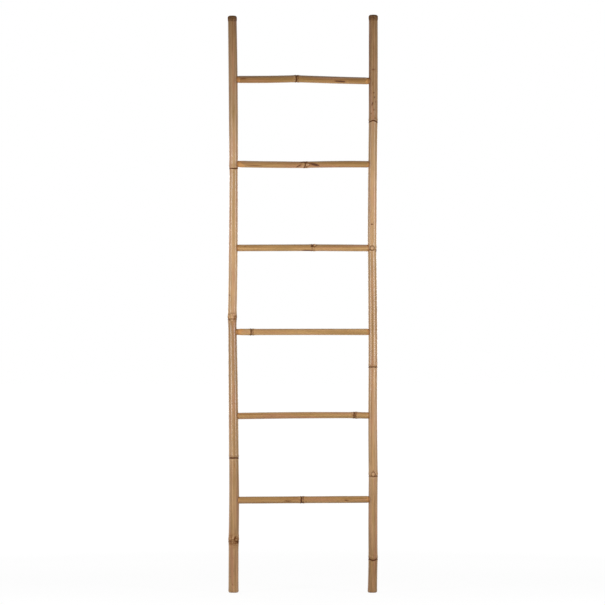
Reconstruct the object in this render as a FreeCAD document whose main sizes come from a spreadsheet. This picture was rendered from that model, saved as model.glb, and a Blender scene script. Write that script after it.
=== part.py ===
import FreeCAD, Part
import os

import Sketcher
from FreeCAD import Placement, Rotation, Vector

# A blanket ladder of whole bamboo culms, in millimetres: two stiles and six rungs.
#
# The ladder stands on the plane z = 0 and faces -Y, and its origin lies on the floor midway between
# the stiles. Each culm is ringed at its nodes by the scar of a fallen sheath with a ridge just above
# it. The stiles are hollow between their nodes and walled off at each node, and their buds change
# sides from one node to the next. The rungs are thin culms, taken as solid. Their ends are whittled
# to round tenons, which stand in blind mortises in the stiles, and a bamboo peg driven from the back
# locks each of the twelve joints.

doc = FreeCAD.newDocument("blanket_ladder")

# ---------------------------------------------------------------------------- driving dimensions

SIZES = {
    # the ladder
    "ladder_height": 1900,       # floor to the top of the right stile
    "left_stile_short": 3,       # the left stile is cut this much shorter
    "stile_spacing": 458,        # between the two straight lines that the stiles sway about
    "lowest_rung": 305,          # floor to the middle of the lowest rung
    "above_top_rung": 215,       # middle of the highest rung to the top
    # the culms
    "stile_wall": 4.6,
    "diaphragm": 3.5,            # thickness of the wall inside each node
    "node_flare": 6,             # how far a node's swelling runs out below its scar
    "node_fade": 18,             # and above its ridge
    "scar_width": 1.4,
    "scar_rise": 0.9,            # rises are on the radius
    "waist_rise": 0.2,           # between the scar and the ridge
    "ridge_height": 4.5,         # from the scar up to the ridge
    "ridge_rise": 0.9,
    "kink_overlap": 1,           # how far a rung's culm runs over the slopes of its tenons
    # the buds on the stiles
    "bud_length": 13,
    "bud_width": 9,
    "bud_rise": 2.2,             # how far a bud stands out of its node
    "bud_above_scar": 4,
    # the ends of the stiles
    "cap_height": 10,            # what stands above the highest node
    "cap_rise": 0.6,
    "cap_round": 3.5,            # how far the top's edge is rounded over
    "cup_depth": 3,              # the hollow left in the top
    "foot_round": 1.2,
    "right_foot_plug": 8,        # the right stile is cut at a node, which closes its foot
    # the joints
    "whittled": 1,               # taken off the rung's radius to make its tenon
    "shoulder": 4,               # length of the slope from tenon to rung
    "skin_edge": 0.3,            # step from that slope to the skin
    "shoulder_gap": 0.6,         # between the stile's skin and that slope
    "mortise_past_line": 4,      # how far past the stile's straight line a mortise ends
    "end_gap": 0.3,              # left at the blind end of a mortise or of a peg's hole
    "glue_gap": 0.2,             # round a tenon
    "peg_diameter": 4,
    "peg_gap": 0.15,             # round a peg
    "peg_setback": 3,            # peg to the stile's middle, on the ladder's side
    "peg_hole_reach": 12,        # how far in front of the stile's middle its holes end
    "peg_proud": 0.7,            # how far a peg stands out at the back
    "drill_run": 60,             # more than the way of any drill through a culm
}

# The internodes of each stile from its foot up: length, how far the node above it lies to the right
# of the stile's straight line, and the culm's diameter. They fill the stile in the proportion of
# their lengths.
STILE_INTERNODES = {
    "left": (
        (169, 1, 32.6),
        (273, 1.8, 32.2),
        (457, -4.2, 30.2),
        (495, 0.9, 29.3),
        (493, -4, 28.8),
    ),
    "right": (
        (110, 0.5, 29.6),
        (273, 0.7, 29.6),
        (358, 0, 29.9),
        (386, -2.1, 29),
        (419, 1.9, 29.3),
        (344, 1.9, 29.2),
    ),
}

# The rungs from the top down: the culm's diameter, the internodes to the left and to the right of
# its node, which fill the rung in proportion, how much higher its left end lies, and how far it
# kinks upwards at the node.
RUNGS = (
    (23.6, 205, 253, 5.3, 4.6),
    (22.3, 233, 225, 1.3, -2.3),
    (22.7, 258, 200, 0.3, 1.1),
    (21.8, 57, 401, 0, -0.3),
    (21.8, 396, 62, -1.8, 1.6),
    (23.4, 222, 236, -2.8, 0.2),
)

# Which side of a culm its lowest bud is on: -1 is the front and 1 the back.
FIRST_BUD_SIDE = {"left": -1, "right": 1}

STILE_SIGN = {"left": -1, "right": 1}
RUNG_NUMBERS = range(1, len(RUNGS) + 1)

for side, internodes in STILE_INTERNODES.items():
    for number, (length, sway, diameter) in enumerate(internodes, 1):
        SIZES[f"{side}_internode_{number}"] = length
        SIZES[f"{side}_sway_{number}"] = sway
        SIZES[f"{side}_diameter_{number}"] = diameter

for number, (diameter, left_internode, right_internode, tilt, kink) in zip(RUNG_NUMBERS, RUNGS):
    SIZES[f"rung_{number}_diameter"] = diameter
    SIZES[f"rung_{number}_left_internode"] = left_internode
    SIZES[f"rung_{number}_right_internode"] = right_internode
    SIZES[f"rung_{number}_tilt"] = tilt
    SIZES[f"rung_{number}_kink"] = kink


def add_rows(sheet, values):
    """Put each value in a row of its own, under an alias."""
    first = len(sheet.getNonEmptyCells()) // 2 + 1
    for row, (alias, value) in enumerate(values.items(), first):
        sheet.set(f"A{row}", alias)
        sheet.set(f"B{row}", str(value))
        sheet.setAlias(f"B{row}", alias)
    doc.recompute()


sizes = doc.addObject("Spreadsheet::Sheet", "sizes")
add_rows(sizes, SIZES)

# ---------------------------------------------------------------- places worked out from the sizes

layout = doc.addObject("Spreadsheet::Sheet", "layout")


def between(low, high, share):
    """An expression that goes from low to high as share goes from 0 to 1."""
    return f"({low} + ({high} - {low}) * {share})"


def node_places(side, shorter):
    """The height of each node, from the foot as number 0 to the one a cap's height below the top."""
    count = len(STILE_INTERNODES[side])
    lengths = [f"sizes.{side}_internode_{number}" for number in range(1, count + 1)]
    whole = " + ".join(lengths)
    places = {}
    for number in range(count + 1):
        below = " + ".join(lengths[:number]) or "0"
        places[f"{side}_node_{number}"] = (
            f"=(sizes.ladder_height - {shorter} - sizes.cap_height) * ({below}) / ({whole})"
        )
    return places


def rung_places(number):
    """The heights of a rung and of its two ends, and how far along it its node is."""
    steps_up = len(RUNGS) - number
    rung = f"rung_{number}"
    return {
        f"{rung}_height": f"=sizes.lowest_rung + rung_pitch * {steps_up}",
        f"{rung}_left_height": f"={rung}_height + sizes.{rung}_tilt / 2",
        f"{rung}_right_height": f"={rung}_height - sizes.{rung}_tilt / 2",
        f"{rung}_node_share": f"=sizes.{rung}_left_internode"
                              f" / (sizes.{rung}_left_internode + sizes.{rung}_right_internode)",
    }


def joint_places(side, number):
    """The stile's own middle and radius where a rung joins it, and the middle of the joint's peg."""
    height = f"rung_{number}_{side}_height"
    internodes = range(1, len(STILE_INTERNODES[side]) + 1)
    here = max(n for n in internodes if layout.get(f"{side}_node_{n - 1}") <= layout.get(height))
    share = f"({height} - {side}_node_{here - 1}) / ({side}_node_{here} - {side}_node_{here - 1})"
    middle = between(f"sizes.{side}_sway_{max(here - 1, 1)}", f"sizes.{side}_sway_{here}", share)
    joint = f"{side}_joint_{number}"
    return {
        f"{joint}_middle": f"={middle}",
        f"{joint}_radius": f"=sizes.{side}_diameter_{here} / 2",
        f"{joint}_peg": f"={joint}_middle - {STILE_SIGN[side]} * sizes.peg_setback",
    }


add_rows(layout, node_places("left", "sizes.left_stile_short"))
add_rows(layout, node_places("right", "0"))
add_rows(layout, {
    "rung_pitch": "=(sizes.ladder_height - sizes.lowest_rung - sizes.above_top_rung)"
                  f" / {len(RUNGS) - 1}",
})
for number in RUNG_NUMBERS:
    add_rows(layout, rung_places(number))
for side in STILE_INTERNODES:
    for number in RUNG_NUMBERS:
        add_rows(layout, joint_places(side, number))

# -------------------------------------------------------------------- sketch and feature helpers


def new_body(name, turn=Rotation()):
    """An empty body with its label, turned from its own frame into the ladder's."""
    body = doc.addObject("PartDesign::Body", name)
    body.Label = name
    body.Placement = Placement(Vector(0, 0, 0), turn)
    return body


def move_body(body, **places):
    """Bind the body's place along the named axes."""
    for axis, expression in places.items():
        body.setExpression(f"Placement.Base.{axis}", expression)


def new_sketch(body, name, plane, offset):
    """A sketch on one of the body's origin planes, moved off it along its normal."""
    sketch = body.newObject("Sketcher::SketchObject", name)
    support = next(item for item in body.Origin.OriginFeatures if item.Role == plane)
    sketch.AttachmentSupport = [(support, "")]
    sketch.MapMode = "FlatFace"
    sketch.setExpression("AttachmentOffset.Base.z", offset)
    return sketch


def add_circle(sketch, across, up, radius):
    """A circle whose middle and radius are bound to expressions."""
    circle = sketch.addGeometry(Part.Circle(Vector(0, 0, 0), Vector(0, 0, 1), 10), False)
    for kind, ends, expression in (
        ("Radius", (circle, 10.0), radius),
        ("DistanceX", (-1, 1, circle, 3, 0.0), across),
        ("DistanceY", (-1, 1, circle, 3, 0.0), up),
    ):
        constraint = sketch.addConstraint(Sketcher.Constraint(kind, *ends))
        sketch.setExpression(f"Constraints[{constraint}]", expression)


def add_outline(sketch, points):
    """A closed outline of straight lines through points that are bound to expressions."""
    count = len(points)
    corners = [Vector(10 + number, 10 * number, 0) for number in range(count)]
    for number, corner in enumerate(corners):
        sketch.addGeometry(Part.LineSegment(corner, corners[(number + 1) % count]), False)
    for number, corner in enumerate(corners):
        before = (number - 1) % count
        sketch.addConstraint(Sketcher.Constraint("Coincident", before, 2, number, 1))
        across, up = points[number]
        for kind, drawn, expression in (("DistanceX", corner.x, across), ("DistanceY", corner.y, up)):
            constraint = sketch.addConstraint(Sketcher.Constraint(kind, -1, 1, number, 1, drawn))
            sketch.setExpression(f"Constraints[{constraint}]", expression)


def add_turned(body, name, outline, foot=("0", "0"), head=("0", "1")):
    """A solid turned about the line from foot to head, each given across and up the body.

    The outline's points are a distance from that line and a distance along it from the foot."""
    sketch = new_sketch(body, f"{name}_outline", "XZ_Plane", "0")
    sketch.setExpression("AttachmentOffset.Base.x", foot[0])
    sketch.setExpression("AttachmentOffset.Base.y", foot[1])
    lean = f"-atan(({head[0]} - {foot[0]}) / ({head[1]} - {foot[1]}))"
    sketch.setExpression("AttachmentOffset.Rotation.Angle", lean)
    add_outline(sketch, outline)
    turned = body.newObject("PartDesign::Revolution", name)
    turned.Profile = (sketch, [""])
    turned.ReferenceAxis = (sketch, ["V_Axis"])
    turned.Angle = 360
    return turned


def distance(foot, head):
    """An expression for the distance between two points."""
    return f"sqrt(({head[0]} - {foot[0]}) ^ 2 + ({head[1]} - {foot[1]}) ^ 2)"


def add_spindle(body, name, middle, width, length):
    """A spindle that stands upright round the given middle, fused to the body."""
    across, depth, up = middle
    sketch = new_sketch(body, f"{name}_outline", "XZ_Plane", f"-({depth})")
    sketch.setExpression("AttachmentOffset.Base.x", across)
    sketch.setExpression("AttachmentOffset.Base.y", up)
    circle = Part.Circle(Vector(-10, 0, 0), Vector(0, 0, 1), 15)
    arc = sketch.addGeometry(Part.ArcOfCircle(circle, -0.8, 0.8), False)
    chord = sketch.addGeometry(Part.LineSegment(Vector(0, 10, 0), Vector(0, -10, 0)), False)
    for kind, ends in (
        ("Coincident", (arc, 2, chord, 1)),
        ("Coincident", (arc, 1, chord, 2)),
        ("PointOnObject", (chord, 1, -2)),
        ("PointOnObject", (chord, 2, -2)),
        ("PointOnObject", (arc, 3, -1)),
    ):
        sketch.addConstraint(Sketcher.Constraint(kind, *ends))
    tall = sketch.addConstraint(Sketcher.Constraint("DistanceY", chord, 2, chord, 1, 20.0))
    sketch.setExpression(f"Constraints[{tall}]", length)
    bend = sketch.addConstraint(Sketcher.Constraint("Radius", arc, 15.0))
    sketch.setExpression(f"Constraints[{bend}]", f"({length} * {length} / {width} + {width}) / 4")
    spindle = body.newObject("PartDesign::Revolution", name)
    spindle.Profile = (sketch, [""])
    spindle.ReferenceAxis = (sketch, ["V_Axis"])
    spindle.Angle = 360
    return spindle


def add_holes(body, name, sketch, towards_normal):
    """Holes that start at the sketch's plane and run out of the solid, along its normal or against it."""
    holes = body.newObject("PartDesign::Pocket", name)
    holes.Profile = (sketch, [""])
    holes.setExpression("Length", "sizes.drill_run")
    holes.Reversed = towards_normal
    return holes


def above_node(radius, node_radius):
    """The outline where an internode starts at a node: from the middle out, then waist, ridge and fade."""
    return [
        ("0", "-sizes.scar_width / 2"),
        (f"{node_radius} + sizes.waist_rise", "-sizes.scar_width / 2"),
        (f"{node_radius} + sizes.waist_rise", "sizes.scar_width"),
        (f"{node_radius} + sizes.ridge_rise", "sizes.ridge_height"),
        (radius, "sizes.ridge_height + sizes.node_fade"),
    ]


def below_node(radius, node_radius, run):
    """The outline where an internode ends at a node: flare and sheath scar, then back to the middle."""
    return [
        (radius, f"{run} - sizes.node_flare"),
        (f"{node_radius} + sizes.scar_rise", f"{run} - sizes.scar_width / 2"),
        (f"{node_radius} + sizes.scar_rise", f"{run} + sizes.scar_width / 2"),
        ("0", f"{run} + sizes.scar_width / 2"),
    ]


# --------------------------------------------------------------------------------------- stiles


def stile_node(side, number):
    """The point where a node of the stile lies. The lowest internode is plumb, so the foot is level."""
    return f"sizes.{side}_sway_{max(number, 1)}", f"layout.{side}_node_{number}"


def stile_radius(side, number):
    """The radius of an internode of the stile, counted from 1 at the foot."""
    return f"sizes.{side}_diameter_{number} / 2"


def node_radius(side, number):
    """The mean radius of the two internodes that meet at a node."""
    return between(stile_radius(side, number), stile_radius(side, number + 1), "1 / 2")


def cap_outline(radius, run):
    """The outline over the highest node: a slight bulge, a rounded edge and a cup in the cut end."""
    top = f"{run} + sizes.cap_height"
    cup_radius = f"{radius} - sizes.cap_round - sizes.stile_wall / 2"
    return [
        (radius, f"{run} - sizes.node_flare"),
        (f"{radius} + sizes.cap_rise", run),
        (f"{radius} + sizes.cap_rise", f"{top} - sizes.cap_round"),
        (f"{radius} - sizes.cap_round / 3", f"{top} - sizes.cap_round / 3"),
        (f"{radius} - sizes.cap_round", top),
        (cup_radius, top),
        (cup_radius, f"{top} - sizes.cup_depth"),
        ("0", f"{top} - sizes.cup_depth"),
    ]


def foot_outline(side, radius):
    """The outline round the foot's edge, which starts at the hollow or, where that is closed, the middle."""
    inside = {"left": f"{radius} - sizes.stile_wall", "right": "0"}[side]
    return [
        (inside, "0"),
        (f"{radius} - sizes.foot_round", "0"),
        (radius, "sizes.foot_round"),
    ]


def hollow_outline(side, number, radius, run):
    """The outline of an internode's hollow, from the wall inside the upper node down."""
    hollow = f"{radius} - sizes.stile_wall"
    ceiling = f"{run} - sizes.diaphragm / 2"
    outline = [("0", ceiling), (hollow, ceiling)]
    if number > 1 or side == "right":
        floor = "sizes.diaphragm / 2" if number > 1 else "sizes.right_foot_plug"
        outline += [(hollow, floor), ("0", floor)]
    return outline


def stile_internodes(body, side):
    """Each internode, turned about the straight line between its nodes."""
    top = len(STILE_INTERNODES[side])
    for number in range(1, top + 1):
        foot = stile_node(side, number - 1)
        head = stile_node(side, number)
        run = distance(foot, head)
        radius = stile_radius(side, number)
        if number == 1:
            outline = foot_outline(side, radius)
        else:
            outline = above_node(radius, node_radius(side, number - 1))
        if number == top:
            outline += cap_outline(radius, run)
        else:
            outline += below_node(radius, node_radius(side, number), run)
        outline += hollow_outline(side, number, radius, run)
        add_turned(body, f"{side}_internode_{number}", outline, foot, head)


def stile_buds(body, side):
    """A bud on each node, on the front and the back in turn."""
    facing = FIRST_BUD_SIDE[side]
    for number in range(1, len(STILE_INTERNODES[side])):
        across, up = stile_node(side, number)
        add_spindle(body, f"{side}_bud_{number}", (
            across,
            f"{facing} * ({node_radius(side, number)} + sizes.bud_rise - sizes.bud_width / 2)",
            f"{up} + sizes.bud_above_scar",
        ), "sizes.bud_width", "sizes.bud_length")
        facing = -facing


def stile_mortises(body, side):
    """The blind mortises in the inner side, all drilled to one plane."""
    sketch = new_sketch(body, f"{side}_mortise_rings", "YZ_Plane",
                        f"{STILE_SIGN[side]} * sizes.mortise_past_line")
    for number in RUNG_NUMBERS:
        add_circle(sketch, "0", f"layout.rung_{number}_{side}_height",
                   f"sizes.rung_{number}_diameter / 2 - sizes.whittled + sizes.glue_gap")
    add_holes(body, f"{side}_mortises", sketch, side == "left")


def stile_peg_holes(body, side):
    """The pegs' holes, drilled from the back to one depth, blind in the front wall."""
    sketch = new_sketch(body, f"{side}_peg_hole_rings", "XZ_Plane", "sizes.peg_hole_reach")
    for number in RUNG_NUMBERS:
        add_circle(sketch, f"layout.{side}_joint_{number}_peg", f"layout.rung_{number}_{side}_height",
                   "sizes.peg_diameter / 2 + sizes.peg_gap")
    add_holes(body, f"{side}_peg_holes", sketch, False)


def make_stile(side):
    body = new_body(f"{side}_stile")
    move_body(body, x=f"{STILE_SIGN[side]} * sizes.stile_spacing / 2")
    stile_internodes(body, side)
    stile_buds(body, side)
    stile_mortises(body, side)
    stile_peg_holes(body, side)
    return body


# ---------------------------------------------------------------------------------------- rungs
# A rung's own frame has its Z along the ladder's X, from left to right, and its X straight down.


def rung_end(side, number):
    """Places along the rung of the tenon's end, root and full culm, of its peg, and how far it drops."""
    sign = STILE_SIGN[side]
    joint = f"layout.{side}_joint_{number}"
    line = f"{sign} * sizes.stile_spacing / 2"
    root = f"({line} + {joint}_middle - {sign} * ({joint}_radius + sizes.shoulder_gap))"
    return {
        "end": f"({line} + {sign} * (sizes.mortise_past_line - sizes.end_gap))",
        "root": root,
        "culm": f"({root} - {sign} * sizes.shoulder)",
        "peg": f"({line} + {joint}_peg)",
        "drop": f"({sign} * sizes.rung_{number}_tilt / 2)",
    }


def add_tenon(body, name, end, radius):
    """A level tenon and the slope up to the edge of the culm's skin."""
    tenon = f"{radius} - sizes.whittled"
    add_turned(body, name, [
        ("0", end["end"]),
        (tenon, end["end"]),
        (tenon, end["root"]),
        (f"{radius} - sizes.skin_edge", end["culm"]),
        ("0", end["culm"]),
    ], (end["drop"], "0"), (end["drop"], "1"))


def make_rung(number):
    name = f"rung_{number}"
    body = new_body(name, Rotation(Vector(0, 1, 0), 90))
    move_body(body, z=f"layout.rung_{number}_height")
    radius = f"sizes.rung_{number}_diameter / 2"
    left = rung_end("left", number)
    right = rung_end("right", number)
    foot = (left["drop"], left["culm"])
    head = (right["drop"], right["culm"])
    share = f"layout.rung_{number}_node_share"
    node = (
        f"({between(foot[0], head[0], share)} - sizes.rung_{number}_kink)",
        between(foot[1], head[1], share),
    )

    add_turned(body, f"{name}_left_internode", [
        ("0", "-sizes.kink_overlap"),
        (radius, "-sizes.kink_overlap"),
        *below_node(radius, radius, distance(foot, node)),
    ], foot, node)
    end_of_culm = f"{distance(node, head)} + sizes.kink_overlap"
    add_turned(body, f"{name}_right_internode", [
        *above_node(radius, radius),
        (radius, end_of_culm),
        ("0", end_of_culm),
    ], node, head)
    add_tenon(body, f"{name}_left_tenon", left, radius)
    add_tenon(body, f"{name}_right_tenon", right, radius)

    holes = new_sketch(body, f"{name}_peg_rings", "XZ_Plane", "0")
    for end in (left, right):
        add_circle(holes, end["drop"], end["peg"], "sizes.peg_diameter / 2 + sizes.peg_gap")
    add_holes(body, f"{name}_peg_holes", holes, False).Midplane = True
    return body


# ----------------------------------------------------------------------------------------- pegs
# A peg's own frame has its Z along the ladder's Y, from the tip at the front to the head at the back.


def make_peg(number, side):
    name = f"peg_{number}_{side}"
    joint = f"layout.{side}_joint_{number}"
    body = new_body(name, Rotation(Vector(1, 0, 0), -90))
    tip = "(sizes.end_gap - sizes.peg_hole_reach)"
    move_body(
        body,
        x=f"{STILE_SIGN[side]} * sizes.stile_spacing / 2 + {joint}_peg",
        y=tip,
        z=f"layout.rung_{number}_{side}_height",
    )
    head = f"({joint}_radius + sizes.peg_proud - {tip})"
    add_turned(body, f"{name}_shank", [
        ("0", "0"),
        ("sizes.peg_diameter / 2", "0"),
        ("sizes.peg_diameter / 2", head),
        ("0", head),
    ])
    return body


# ------------------------------------------------------------------------------ build, test, write

pieces = [make_stile(side) for side in STILE_INTERNODES]
pieces += [make_rung(number) for number in RUNG_NUMBERS]
pieces += [make_peg(number, side) for number in RUNG_NUMBERS for side in STILE_INTERNODES]
doc.recompute()

for item in doc.Objects:
    if "Invalid" in item.State or "Error" in item.State:
        raise RuntimeError(f"{item.Name} didn't build: {item.State}")
for piece in pieces:
    if piece.Shape.isNull() or not piece.Shape.isValid() or len(piece.Shape.Solids) != 1:
        raise RuntimeError(f"{piece.Label} isn't one valid solid")

os.makedirs("parts", exist_ok=True)
for piece in pieces:
    piece.Shape.exportStep(f"parts/{piece.Label}.step")
    box = piece.Shape.BoundBox
    print(f"{piece.Label}: {piece.Shape.Volume / 1000:.1f} cm3,"
          f" x {box.XMin:.1f} to {box.XMax:.1f}, z {box.ZMin:.1f} to {box.ZMax:.1f}")
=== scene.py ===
# %% [markdown]
# # A blanket ladder of bamboo culms
#
# The ladder is two tall bamboo poles, the stiles, and six thinner ones, the rungs. The CAD frame
# gives every piece its place. This script gives the culms the skin that a lathe can't: tapers,
# bows, grooves, sheath scars and buds, and then the colour of seasoned bamboo.
#
# The frame comes first, because every later place is measured from it.

import math
from collections import namedtuple

import bmesh
import bpy
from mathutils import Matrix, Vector, noise


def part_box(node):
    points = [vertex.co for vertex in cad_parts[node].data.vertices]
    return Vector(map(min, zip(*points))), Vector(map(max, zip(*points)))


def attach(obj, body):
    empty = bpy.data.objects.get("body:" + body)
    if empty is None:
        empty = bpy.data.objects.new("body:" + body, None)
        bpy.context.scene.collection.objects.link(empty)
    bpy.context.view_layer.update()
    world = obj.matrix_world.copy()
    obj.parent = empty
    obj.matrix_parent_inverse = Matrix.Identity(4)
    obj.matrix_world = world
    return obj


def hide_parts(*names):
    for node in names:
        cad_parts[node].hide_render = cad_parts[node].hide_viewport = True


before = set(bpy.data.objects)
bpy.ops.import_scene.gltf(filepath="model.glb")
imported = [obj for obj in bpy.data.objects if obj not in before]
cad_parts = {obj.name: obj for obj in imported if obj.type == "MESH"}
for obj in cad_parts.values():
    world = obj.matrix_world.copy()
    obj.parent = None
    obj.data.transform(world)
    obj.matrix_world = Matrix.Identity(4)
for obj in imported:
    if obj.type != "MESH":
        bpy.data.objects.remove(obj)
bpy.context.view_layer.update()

# %% [markdown]
# ## What a culm is
#
# A bamboo culm is a chain of internodes. Each starts thick, swells a little and gets thinner
# towards its next node, and each has a slight bow. At a node the fallen sheath leaves a thin
# scar, with a ridge just above it and a bud on one side. Buds change sides from node to node, and
# a shallow groove runs up the internode above each.
#
# So a culm is written as two short tables, in millimetres: its internodes and the nodes between
# them. A culm's own directions are along it, and round it from the front, where an angle of 0
# faces the viewer and a quarter turn faces the right of a stile or the top of a rung.

# %% The tables' columns
MM = 0.001
FRONT = 0
BACK = math.pi

# An internode's length, its diameters at its start, middle and end, its bow, and how pale it is
# at each end, from 0 to 1.
Internode = namedtuple("Internode", "length start middle end bow pale pale_end")
# A node's shift off the culm's straight line, how far its scar lifts at the front, how dark and
# how rough it is, where its bud is and how far that stands out.
Node = namedtuple("Node", "shift lift dark rough bud bud_rise")
print("an internode has", Internode._fields, "and a node has", Node._fields)

# %% The stiles
STILE_SPACING = 458 * MM
LEFT_STILE = {
    "internodes": (
        Internode(169, 33.6, 33.1, 33.0, 0, 0.36, 0.38),
        Internode(273, 33.8, 33.2, 31.3, 1.2, 0.34, 0.36),
        Internode(457, 32.3, 31.3, 27.8, 0.5, 0.50, 0.20),
        Internode(495, 29.4, 29.6, 27.4, 1.2, 0.74, 0.80),
        Internode(493, 29.2, 30.1, 29.0, 0.9, 0.76, 0.05),
    ),
    "nodes": (
        Node(0.1, 0, 0, 0, BACK, 0),
        Node(0.6, -1.0, 0.45, 1.4, FRONT, 0),
        Node(1.3, 0.2, 1.0, 0.15, BACK, 0.9),
        Node(-3.8, 0.6, 0.35, 1.1, FRONT, 0),
        Node(0.5, -0.6, 0.6, 0.3, BACK, 1.4),
        Node(-3.8, 0, 0.35, 0.3, FRONT, 0),
    ),
}
RIGHT_STILE = {
    "internodes": (
        Internode(110, 31.0, 30.4, 30.0, 0, 0.18, 0.24),
        Internode(273, 30.2, 30.3, 29.6, -0.7, 0.34, 0.42),
        Internode(358, 30.2, 29.8, 29.0, -1.1, 0.42, 0.50),
        Internode(386, 29.8, 29.5, 28.0, 0.6, 0.44, 0.68),
        Internode(419, 29.4, 29.7, 29.0, -0.6, 0.80, 0.52),
        Internode(344, 29.6, 29.9, 29.4, 0.3, 0.36, 0.10),
    ),
    "nodes": (
        Node(-1.2, 0, 0, 0, BACK, 0),
        Node(1.1, -4.0, 1.0, 0.45, BACK, 1.4),
        Node(1.6, -2.0, 0.45, 0.25, FRONT, 1.7),
        Node(0.6, 0.3, 0.6, 0.1, BACK, 1.5),
        Node(-2.1, -2.5, 0.3, 0.25, FRONT, 2.0),
        Node(1.4, 5.0, 0.9, 0.35, BACK, 1.4),
        Node(1.8, 0, 0.35, 0.3, FRONT, 0),
    ),
}
for stile in (LEFT_STILE, RIGHT_STILE):
    print(sum(internode.length for internode in stile["internodes"]), "mm to the highest node")

# %% The rungs, from the top down
# Each has the internodes on both sides of its node, the shifts of its left end, node and right
# end, the lift, darkness, roughness and bud side of its node, and how many millimetres of each end
# are whittled.
RUNG_PITCH = 276 * MM
LOWEST_RUNG = 305 * MM
RUNGS = (
    {"left": Internode(205, 23.8, 24.2, 23.6, -1.1, 0.08, 0.18),
     "right": Internode(253, 23.6, 23.4, 23.1, -0.7, 0.20, 0.26),
     "shifts": (2.65, 4.9, -2.65), "node": (0.8, 0.6, 1.0, 2.2), "shaves": (6, 8)},
    {"left": Internode(233, 22.2, 22.3, 21.6, -0.6, 0.34, 0.26),
     "right": Internode(225, 21.2, 22.3, 22.0, 1.1, 0.24, 0.30),
     "shifts": (0.65, -2.3, -0.65), "node": (2.6, 0.5, 0.8, FRONT), "shaves": (18, 5)},
    {"left": Internode(258, 22.4, 22.4, 22.6, 0, 0.40, 0.46),
     "right": Internode(200, 22.6, 22.6, 22.7, 0, 0.48, 0.54),
     "shifts": (0.15, 1.1, -0.15), "node": (1.0, 0.2, 0.7, 0.9), "shaves": (4, 4)},
    {"left": Internode(57, 21.8, 21.8, 21.8, 0, 0.66, 0.66),
     "right": Internode(401, 21.2, 21.2, 21.7, 0.3, 0.62, 0.60),
     "shifts": (0, -0.3, 0), "node": (0.3, 0.7, 0.8, BACK), "shaves": (16, 6)},
    {"left": Internode(396, 21.8, 21.7, 20.6, 1.1, 0.32, 0.42),
     "right": Internode(62, 21.6, 21.8, 21.8, 0, 0.36, 0.34),
     "shifts": (-0.9, 2.3, 0.9), "node": (-0.6, 0.7, 1.0, BACK), "shaves": (4, 3)},
    {"left": Internode(222, 23.3, 23.3, 23.0, 0, 0.21, 0.19),
     "right": Internode(236, 22.8, 23.2, 23.0, 0, 0.21, 0.27),
     "shifts": (-1.4, 0, 1.4), "node": (0.4, 0.9, 0.6, BACK), "shaves": (5, 5)},
)
print(len(RUNGS), "rungs, each", RUNG_PITCH, "m above the next")

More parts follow.
